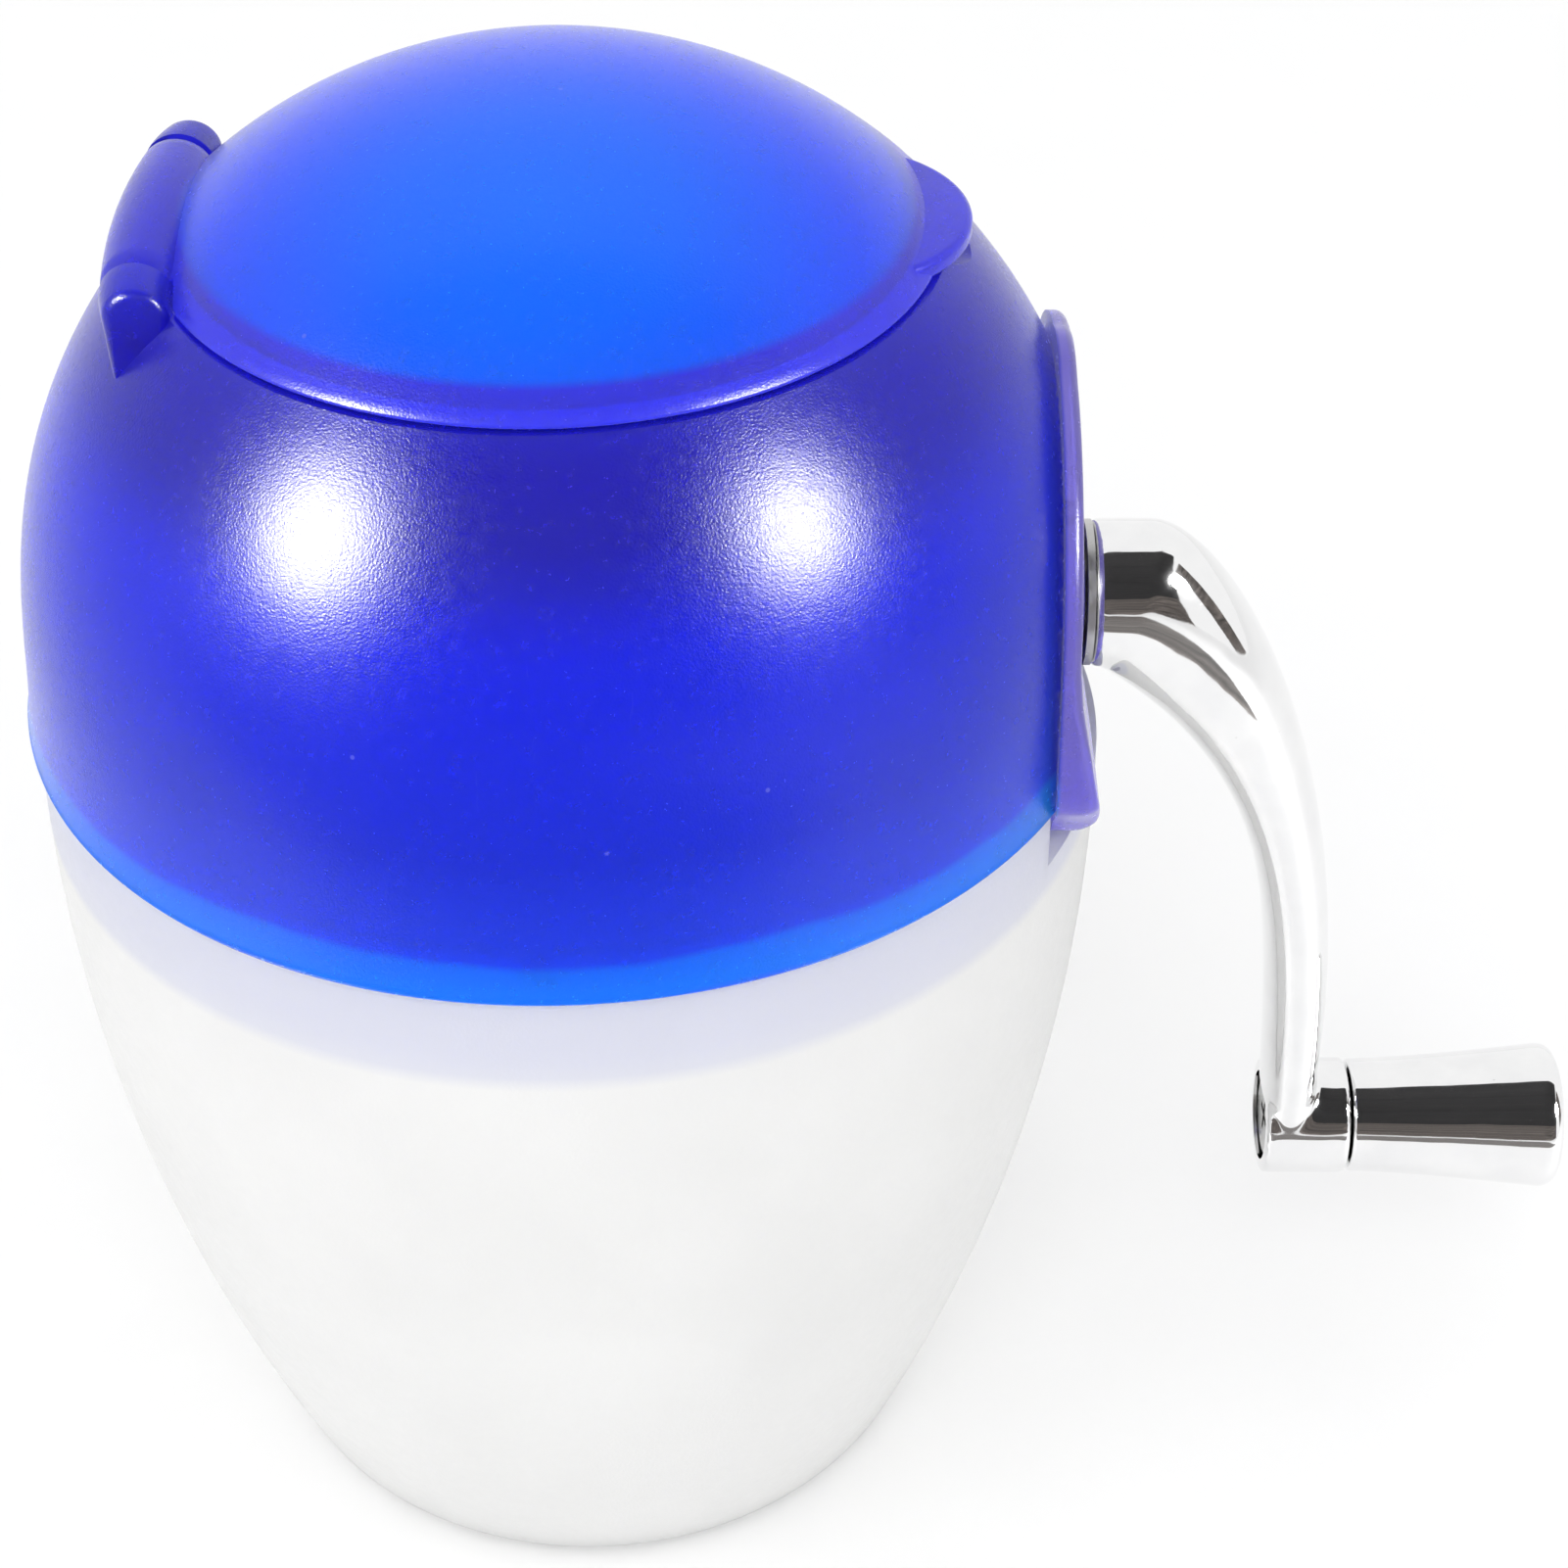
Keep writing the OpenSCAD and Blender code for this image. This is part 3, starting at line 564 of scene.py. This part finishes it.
# ---------------------------------------------------------------- cup
def make_cup():
    foot_z, turn = CUP_EDGE_R - RIM, math.radians(FOOT_TURN)
    joint = (CUP_BASE_R + CUP_EDGE_R * math.cos(turn), foot_z - CUP_EDGE_R * math.sin(turn))
    wall = bezier([*CUP_SIDE, joint], 64)
    foot = arc(CUP_BASE_R, foot_z, CUP_EDGE_R, -FOOT_TURN - 4, -90, 14)
    side = np.vstack([wall, foot])
    inner = offset(side, -CUP_WALL)
    inner = inner[inner[:, 1] < LIP_FOOT - 1]
    rounded = arc(side[0, 0] - CUP_ROUND, -CLEAR - CUP_ROUND, CUP_ROUND, 90, 0, 4)
    profile = np.vstack([
        [(LIP_IN + LIP_EDGE, LIP_H), (LIP_OUT - LIP_EDGE, LIP_H)],
        [(LIP_OUT, LIP_H - LIP_EDGE), (LIP_OUT, -CLEAR)],
        rounded, side[side[:, 1] < -CLEAR - CUP_ROUND - 0.05],
        [(0, -RIM), (0, inner[-1, 1])], inner[::-1],
        [(LIP_IN, LIP_FOOT), (LIP_IN, LIP_H - LIP_EDGE)],
    ])
    cup = revolve("cup_body", profile, FINE)

    # A shelf and a wall close the notch that the lip of the side plate hangs in.
    lip_r = (LIP_IN + LIP_OUT) / 2
    core = np.vstack([
        [(0, LIP_H + 1), (lip_r, LIP_H + 1), (lip_r, LIP_FOOT)],
        offset(side, -SHELF_INSET)[8:], [(0, -RIM + SHELF_INSET)],
    ])
    notch_room = beyond(NOTCH_X - CUP_WALL, -NOTCH_D - CUP_WALL, SHELF_TOP)
    boolean(cup, "UNION", boolean(revolve("shelf", core, FINE), "INTERSECT", notch_room))
    boolean(cup, "DIFFERENCE", beyond(NOTCH_X, -NOTCH_D),
            beyond(FLAT_X - HEAD_WALL - CLEAR, SHELF_TOP))
    for side_sign in (-1, 1):
        y0, y1 = sorted((side_sign * (LIP_OUT - 5), side_sign * (LIP_OUT + 3)))
        boolean(cup, "DIFFERENCE", block("key", (-KEY_HALF, y0, 0), (KEY_HALF, y1, KEY_TOP)))
    return finish_piece(cup, "cup", "cup_plastic", CUP, "cup")


# ---------------------------------------------------------------- head
def barrel(grow, half, edge=0.0):
    """Crowned barrel round the hinge axis, with its ends rounded by edge."""
    y = np.linspace(-half, half, 25)
    r = BARREL_R + grow + SWELL * (1 - (y / half) ** 2)
    if edge:
        past = np.clip((np.abs(y) - half + edge) / edge, 0, 1)
        r -= edge * (1 - np.sqrt(1 - past ** 2))
    profile = np.vstack([[(0, -half)], np.column_stack([r, y]), [(0, half)]])
    return revolve("barrel", profile, 72, "y", HINGE)


def teardrop(r, tip, straight=8):
    """Outline of an outer knuckle about the hinge axis, as (x, z)."""
    lean = math.degrees(math.atan2(tip[1], tip[0]))
    spread = math.degrees(math.acos(r / math.hypot(*tip)))
    round_part = arc(0, 0, r, lean + spread, lean + 360 - spread, 40)
    first, last, tip = round_part[0], round_part[-1], np.array(tip)
    down = [last + (tip - last) * k / straight for k in range(1, straight + 1)]
    up = [tip + (first - tip) * k / straight for k in range(1, straight)]
    return np.vstack([round_part, down, up])


def make_knuckle(side):
    """Outer hinge knuckle, which slims down and rounds off towards its end."""
    start, end = KNUCKLE + CLEAR + 0.1, OUTER_KNUCKLE
    flat_end = end - KNUCKLE_EDGE
    stations = list(np.linspace(start, flat_end, 7))
    for a in (15, 30, 45, 60, 75, 90):
        stations.append(flat_end + KNUCKLE_EDGE * math.sin(math.radians(a)))
    rings = []
    for y in stations:
        slim = KNUCKLE_SLIM * ((y - start) / (end - start)) ** 1.5
        over = max(0.0, (y - flat_end) / KNUCKLE_EDGE)
        inset = KNUCKLE_EDGE * (1 - math.sqrt(max(0.0, 1 - over * over)))
        tail = (TAIL[0] + 0.1 * inset, TAIL[1] + 1.1 * inset)
        x, z = teardrop(BARREL_R - slim - 0.9 * inset, tail).T
        rings.append(np.column_stack([x + HINGE_X + 0.9 * slim, np.full(len(x), side * y), z + HINGE_Z]))
    return loft("knuckle", rings)


def make_head():
    outer = bezier(DOME, 72)
    inner = offset(outer, HEAD_WALL)
    rim = arc(DOME[0][0] - RIM_EDGE, RIM_EDGE, RIM_EDGE, -90, 0, 4)
    mouth = arc(MOUTH_R + MOUTH_EDGE, SEAT - MOUTH_EDGE, MOUTH_EDGE, 90, 180, 5)
    # The solid runs on a little below the rim, and is cut level once it is hollow.
    solid = np.vstack([[(MOUTH_R, -1), (62, -1), (62, 0)],
                       rim, outer[outer[:, 1] > RIM_EDGE + 0.05], mouth])
    well_r, collar_foot = 40, SEAT - COLLAR_DROP
    hollow = np.vstack([[(well_r, -3), (inner[0, 0], -3)], inner[inner[:, 1] > -0.5],
                        [(COLLAR_R, COLLAR_TOP), (COLLAR_R, collar_foot), (well_r, collar_foot)]])
    level = [(30, -4), (70, -4), (70, 0), (30, 0)]
    shell = revolve("head_dome", solid, FINE)
    boolean(shell, "DIFFERENCE", beyond(FLAT_X, BELOW))
    ridge = boolean(barrel(TROUGH_WALL, TROUGH_Y), "INTERSECT", copy_of(shell))
    core = boolean(revolve("core", hollow, FINE), "DIFFERENCE", beyond(FLAT_X - HEAD_WALL, BELOW))
    boolean(shell, "DIFFERENCE", core)
    boolean(shell, "UNION", ridge)
    boolean(shell, "DIFFERENCE", revolve("level", level, 96))
    boolean(shell, "UNION", make_knuckle(-1), make_knuckle(1))
    boolean(shell, "DIFFERENCE", barrel(CLEAR + 0.05, TROUGH_Y))
    scoop = revolve("scoop", arc(0, 0, SCOOP_R, -90, 90, 48), 96, "z", (SCOOP_X, 0, SCOOP_Z))
    boolean(shell, "DIFFERENCE", scoop, rod(PLATE_BOSS_R + SLACK, *THROUGH, SHAFT_Z))
    return finish_piece(shell, "head", "head_plastic", HEAD, "head_shell")


# ---------------------------------------------------------------- lid
def make_tab(bottom):
    """Thumb tab: a disc with a crowned top, of which the part outside the skirt stays."""
    top, flat_r = bottom + TAB_T, TAB_R - TAB_EDGE
    lower = arc(TAB_R - TAB_FOOT, bottom + TAB_FOOT, TAB_FOOT, -90, 0, 4)
    upper = arc(flat_r, top - TAB_EDGE, TAB_EDGE, 0, 90, 8)
    radii = np.linspace(flat_r - 0.5, 0, 12)
    crown = np.column_stack([radii, top + TAB_CROWN * (1 - (radii / flat_r) ** 2)])
    profile = np.vstack([[(0, bottom)], lower, upper, crown])
    tab = revolve("tab", profile, 144, "z", (TAB_X, 0, 0))
    return boolean(tab, "DIFFERENCE", bar(SKIRT_R - 0.5, *LID_SPAN))


def on_sphere(r, n, r0, r1):
    """Points of the lid's profile at the sphere radius r, between two distances from the axis."""
    radii = np.linspace(r0, r1, n)
    return np.column_stack([radii, LID_C + np.sqrt(r * r - radii ** 2)])


def make_lid():
    bottom = SEAT + CLEAR
    rim_z = LID_C + math.sqrt(LID_SPHERE ** 2 - LID_R ** 2)
    skirt_in, low = SKIRT_R - SKIRT_WALL, bottom - SKIRT_DROP
    profile = np.vstack([
        [(SKIRT_R, bottom), (LID_R - 0.2, bottom), (LID_R, bottom + 0.15), (LID_R, rim_z - LID_EDGE)],
        on_sphere(LID_SPHERE, 60, LID_R - LID_EDGE, 0),
        on_sphere(LID_SPHERE - LID_WALL, 50, 0, skirt_in),
        [(skirt_in, low + SKIRT_EDGE), (skirt_in + SKIRT_EDGE, low)],
        [(SKIRT_R - SKIRT_EDGE, low), (SKIRT_R, low + SKIRT_EDGE)],
    ])
    lid = revolve("lid_dome", profile, FINE)
    boolean(lid, "UNION", make_tab(bottom))
    knuckle = boolean(barrel(0, KNUCKLE, 0.7), "DIFFERENCE", bar(SKIRT_R - 1, *LID_SPAN))
    for side in (-1, 1):
        y0, y1 = sorted((side * KNUCKLE, side * HINGE_END))
        boolean(lid, "DIFFERENCE", bar(BARREL_R + CLEAR, y0, y1, 72, "y", HINGE))
    boolean(lid, "UNION", knuckle)
    return finish_piece(lid, "lid", "lid_plastic", LID, "lid")


# ---------------------------------------------------------------- side plate
def plate_outline(points=240):
    """Closed outline of the plate as (y, z): it follows the dome, over a rounded lower lip."""
    dome = bezier(DOME, 90)
    half = np.sqrt(np.clip((dome[:, 0] + PLATE_MARGIN) ** 2 - FLAT_X ** 2, 0, None))
    arch = np.column_stack([half, dome[:, 1] + PLATE_MARGIN])[(dome[:, 1] > 2) & (half > 4)]
    y, z = arch[-1]
    lip = arc(24, -3, 5, -90, -20, 12)
    shoulder = [(30.6, -2.4), (32.6, -0.4), (33.9, 0.8)]
    crest = [(y * 0.8, z + 0.45), (y / 2, z + 0.9), (y / 4, z + 1.05)]
    right = np.vstack([lip, shoulder, arch, crest])
    ring = np.vstack([right, [(0, z + 1.1)], right[::-1] * [-1, 1]])
    closed = np.vstack([ring, ring[:1]])
    step = np.linalg.norm(np.diff(closed, axis=0), axis=1)
    at = np.concatenate([[0], np.cumsum(step)])
    want = np.linspace(0, at[-1], points, endpoint=False)
    line = np.column_stack([np.interp(want, at, closed[:, i]) for i in (0, 1)])
    for _ in range(3):
        line = (np.roll(line, 1, 0) + 2 * line + np.roll(line, -1, 0)) / 4
    return line


def plate_face(z):
    """How far out the plate's face is at the height z."""
    heights, faces = zip(*PLATE_FACE)
    return np.interp(z, heights, faces)


def make_plate():
    line = plate_outline()
    heights = line[:, 1]
    face = plate_face(heights)
    depth = np.interp(heights, [-2, 12], [2 * PLATE_EDGE, PLATE_EDGE])
    rings = [np.column_stack([np.full(len(line), FLAT_X), line]), np.column_stack([face - depth, line])]
    for a in np.radians((15, 30, 45, 60, 75, 90)):
        edge = offset(line, PLATE_EDGE * (1 - math.cos(a)), closed=True)
        rings.append(np.column_stack([face - depth * (1 - math.sin(a)), edge]))
    centre = np.column_stack([np.zeros(len(line)), np.clip(heights, 2, 30)])
    edge = offset(line, PLATE_EDGE, closed=True)
    for k in np.linspace(0.08, 0.97, 14):
        inward = edge * (1 - k) + centre * k
        x = np.maximum(face * (1 - k) + plate_face(inward[:, 1]) * k, FLAT_X + 1)
        rings.append(np.column_stack([x, inward]))
    plate = loft("side_cover", rings)
    back = FLAT_X - HEAD_WALL
    rounded = arc(PLATE_BOSS_R - BOSS_ROUND, PLATE_BOSS_X - BOSS_ROUND, BOSS_ROUND, 0, 90, 6)
    boss = np.vstack([[(0, back), (PLATE_BOSS_R, back)], rounded, [(0, PLATE_BOSS_X)]])
    boolean(plate, "UNION", revolve("boss", boss, 96, "x", (0, 0, SHAFT_Z)))
    boolean(plate, "DIFFERENCE", rod(BUSH_R + SLACK, *THROUGH, SHAFT_Z))
    return finish_piece(plate, "head", "head_plastic", HEAD, "side_plate")


# ---------------------------------------------------------------- crank
def arm_rings(steps=56):
    """Sections of the arm, from the hub's inner face round the elbow and down to the boss."""
    rings = []

    def ring(inner, outer, half, power):
        u = superellipse(72, power)
        mid, reach = (inner + outer) / 2, (outer - inner) / 2
        xz = mid + u[:, :1] * reach
        rings.append(np.column_stack([xz[:, 0], half * u[:, 1], xz[:, 1]]))

    top, low = SHAFT_Z + HUB_R, SHAFT_Z - HUB_R
    for x, inset in ((HUB_X, 0.6), (HUB_X + 0.18, 0.25), (HUB_X + 0.6, 0)):
        ring(np.array([x, low + inset]), np.array([x, top - inset]), HUB_R - inset, 2)
    outer, inner = bezier(ARM_OUT, steps), bezier(ARM_IN, steps)
    hub_low, hub_top = np.array([HUB_X + 0.6, low]), np.array([HUB_X + 0.6, top])
    for k in np.linspace(0.15, 0.9, 5):
        ring(hub_low * (1 - k) + inner[0] * k, hub_top * (1 - k) + outer[0] * k, HUB_R, 2)
    for i in range(steps + 1):
        middle_z = (inner[i, 1] + outer[i, 1]) / 2
        drop = np.clip((ELBOW_Z - middle_z) / (ELBOW_Z - BOSS_Z), 0, 1)
        half = HUB_R + (ARM_HALF_LOW - HUB_R) * drop
        ring(inner[i], outer[i], half, 2 + 0.35 * min(1, 3 * i / steps))
    return rings


def make_arm():
    arm = loft("crank_lever", arm_rings())
    inner_end = arc(BOSS_R - BOSS_EDGE, BOSS_X0 + BOSS_EDGE, BOSS_EDGE, -90, 0, 6)
    outer_end = arc(BOSS_R - BOSS_EDGE, BOSS_X1 - BOSS_EDGE, BOSS_EDGE, 0, 90, 6)
    boss = np.vstack([[(0, BOSS_X0)], inner_end, outer_end, [(0, BOSS_X1)]])
    boolean(arm, "UNION", revolve("boss", boss, 144, "x", (0, 0, BOSS_Z)))

    # Remeshed and evened out, most of all where the arm runs into the boss.
    remesh = arm.modifiers.new("remesh", "REMESH")
    remesh.mode, remesh.voxel_size, remesh.adaptivity = "VOXEL", ARM_VOXEL * MM, 0
    apply_modifiers(arm)
    relax(arm, 6)
    group = arm.vertex_groups.new(name="fillet")
    for v in arm.data.vertices:
        x, y, z = v.co.x / MM, v.co.y / MM, v.co.z / MM - RIM
        near = 1 - abs(math.hypot(y, z - BOSS_Z) - BOSS_R) / FILLET_REACH
        if near > 0 and z > BOSS_Z and BOSS_X0 + 1 < x < BOSS_X1 - 1:
            group.add([v.index], near, "REPLACE")
    relax(arm, 25, "fillet")

    before_hub, before_boss, past_boss = 60, 80, 120
    boolean(arm, "DIFFERENCE", rod(RECESS_R, before_boss, BOSS_X0 + 3, BOSS_Z),
            rod(SCREW_BORE, before_boss, past_boss, BOSS_Z, 48),
            rod(SHAFT_BORE, before_hub, SHAFT_END, SHAFT_Z))
    return finish_piece(arm, "rotor", "crank_chrome", CHROME, "crank_arm")


def make_knob():
    end = KNOB_X + KNOB_LEN
    shoulder = end - 2.4
    neck = arc(BOSS_R - 0.8, KNOB_X + 0.6, 0.6, -90, -8, 6)
    grip = bezier([(BOSS_R - 0.2, KNOB_X + 0.7), (BOSS_R + 0.15, KNOB_X + 10),
                   (BOSS_R + 0.9, KNOB_X + 17), (KNOB_R, shoulder)], 32)
    cap = bezier([(KNOB_R, shoulder), (KNOB_R + 0.05, end - 0.7),
                  (KNOB_R - 0.9, end), (KNOB_R - 2.8, end)], 12)
    profile = np.vstack([[(0, KNOB_X)], neck, grip, cap[1:], [(0, end)]])
    knob = revolve("knob_grip", profile, 160, "x", (0, 0, BOSS_Z))
    boolean(knob, "DIFFERENCE", rod(KNOB_BORE, KNOB_X - 1, KNOB_X + KNOB_BORE_DEPTH, BOSS_Z, 48))
    return finish_piece(knob, "knob", "knob_chrome", KNOB_CHROME, "knob")


make_cup()
make_head()
make_lid()
make_plate()
make_arm()
make_knob()
for node in frame["nodes"].values():
    if not node.hide_render:
        smooth(node)


# ---------------------------------------------------------------- studio, in metres
TARGET = Vector((0, 0, 0.13))       # what the lights look at


def matt(name, colour, grain, low, high):
    """A matt studio surface, whose colour(nodes) varies and whose roughness has a grain."""
    n = Nodes(name)
    n.colour(colour(n))
    n.rough(n.noise(grain, 2), low, high)
    return n.mat


def plane(name, size, location, direction, material):
    """A flat panel that faces along direction."""
    mesh = bpy.data.meshes.new(name)
    a, b = size[0] / 2, size[1] / 2
    mesh.from_pydata([(-a, -b, 0), (a, -b, 0), (a, b, 0), (-a, b, 0)], [], [[0, 1, 2, 3]])
    mesh.materials.append(material)
    obj = bpy.data.objects.new(name, mesh)
    obj.location = location
    obj.rotation_euler = Vector(direction).to_track_quat("Z", "Y").to_euler()
    bpy.context.scene.collection.objects.link(obj)
    return obj


def round_light(name, azimuth, elevation, distance, size, power):
    """A soft round light that looks at the object from a direction given from the front."""
    light = bpy.data.lights.new(name, "AREA")
    light.shape, light.size, light.energy = "DISK", size, power
    obj = bpy.data.objects.new(name, light)
    a, e = math.radians(azimuth), math.radians(elevation)
    away = Vector((math.sin(a) * math.cos(e), -math.cos(a) * math.cos(e), math.sin(e)))
    obj.location = TARGET + away * distance
    obj.rotation_euler = (-away).to_track_quat("-Z", "Y").to_euler()
    bpy.context.scene.collection.objects.link(obj)
    return obj


def hide_from(obj, *rays):
    for ray in rays:
        setattr(obj, "visible_" + ray, False)


def flags():
    """Panels in front of, above and beside the object, which darken what its gloss reflects."""
    black = matt("flag_black", lambda n: n.mix(n.noise(5, 2), (0.01, 0.01, 0.012), (0.02, 0.018, 0.018)),
                 20, 0.7, 0.9)
    stains = [(0.35, (0.03, 0.025, 0.022)), (0.55, (0.13, 0.11, 0.10)), (0.7, (0.28, 0.24, 0.22))]
    brown = matt("flag_brown", lambda n: n.ramp(n.noise(3, 4, 0.6, n.scaled((0.5, 6, 1))), stains),
                 20, 0.7, 0.9)
    panels = [plane("flag_floor", (1.55, 1.6), (-0.475, -1.02, 0.0006), (0, 0, 1), brown)]
    arch_r, arch_x, arch_width = 1.8, 0.15, 2.8
    for low, high in ((2, 26), (26, 50), (50, 74), (74, 97)):
        ends = [Vector((arch_x, -arch_r * math.cos(t), arch_r * math.sin(t)))
                for t in (math.radians(low), math.radians(high))]
        middle = (ends[0] + ends[1]) / 2
        size = (arch_width, (ends[1] - ends[0]).length)
        panels.append(plane("flag_%d" % low, size, middle, (0, -middle.y, -middle.z),
                            brown if low == 2 else black))
    turn, away = math.radians(78), 1.6
    panels.append(plane("flag_right", (0.55, 1.3), (away * math.sin(turn), -away * math.cos(turn), 0.75),
                        (-math.sin(turn), math.cos(turn), -0.2), brown))
    return panels


floor_white = matt("floor_white", lambda n: n.mix(n.noise(6, 2), (0.885,) * 3, (0.895,) * 3),
                   40, 0.6, 0.7)
plane("floor", (12, 12), (0, 0, 0), (0, 0, 1), floor_white)
for flag in flags():
    hide_from(flag, "camera", "diffuse", "transmission", "shadow")
for name, azimuth, size, power in (("box_left", -55, 0.46, 54), ("box_right", 60, 0.38, 38)):
    hide_from(round_light(name, azimuth, 29, 1.3, size, power), "camera", "diffuse", "transmission")
hide_from(round_light("front_fill", 0, 42, 1.5, 1.0, 5), "camera", "glossy")

world = bpy.data.worlds.new("studio")
world.use_nodes = True
backdrop = world.node_tree.nodes["Background"].inputs
backdrop["Color"].default_value = (1, 1, 1, 1)
backdrop["Strength"].default_value = 1.04
bpy.context.scene.world = world

scene = bpy.context.scene
scene.view_settings.view_transform = "Standard"
camera = bpy.data.cameras.new("camera")
camera.lens, camera.sensor_width = 73.64, 36
view = bpy.data.objects.new("camera", camera)
view.location = (0.0267, -0.3302, 0.3496)
view.rotation_euler = (math.radians(52.742), 0, 0)
scene.collection.objects.link(view)
scene.camera = view

bpy.context.view_layer.update()
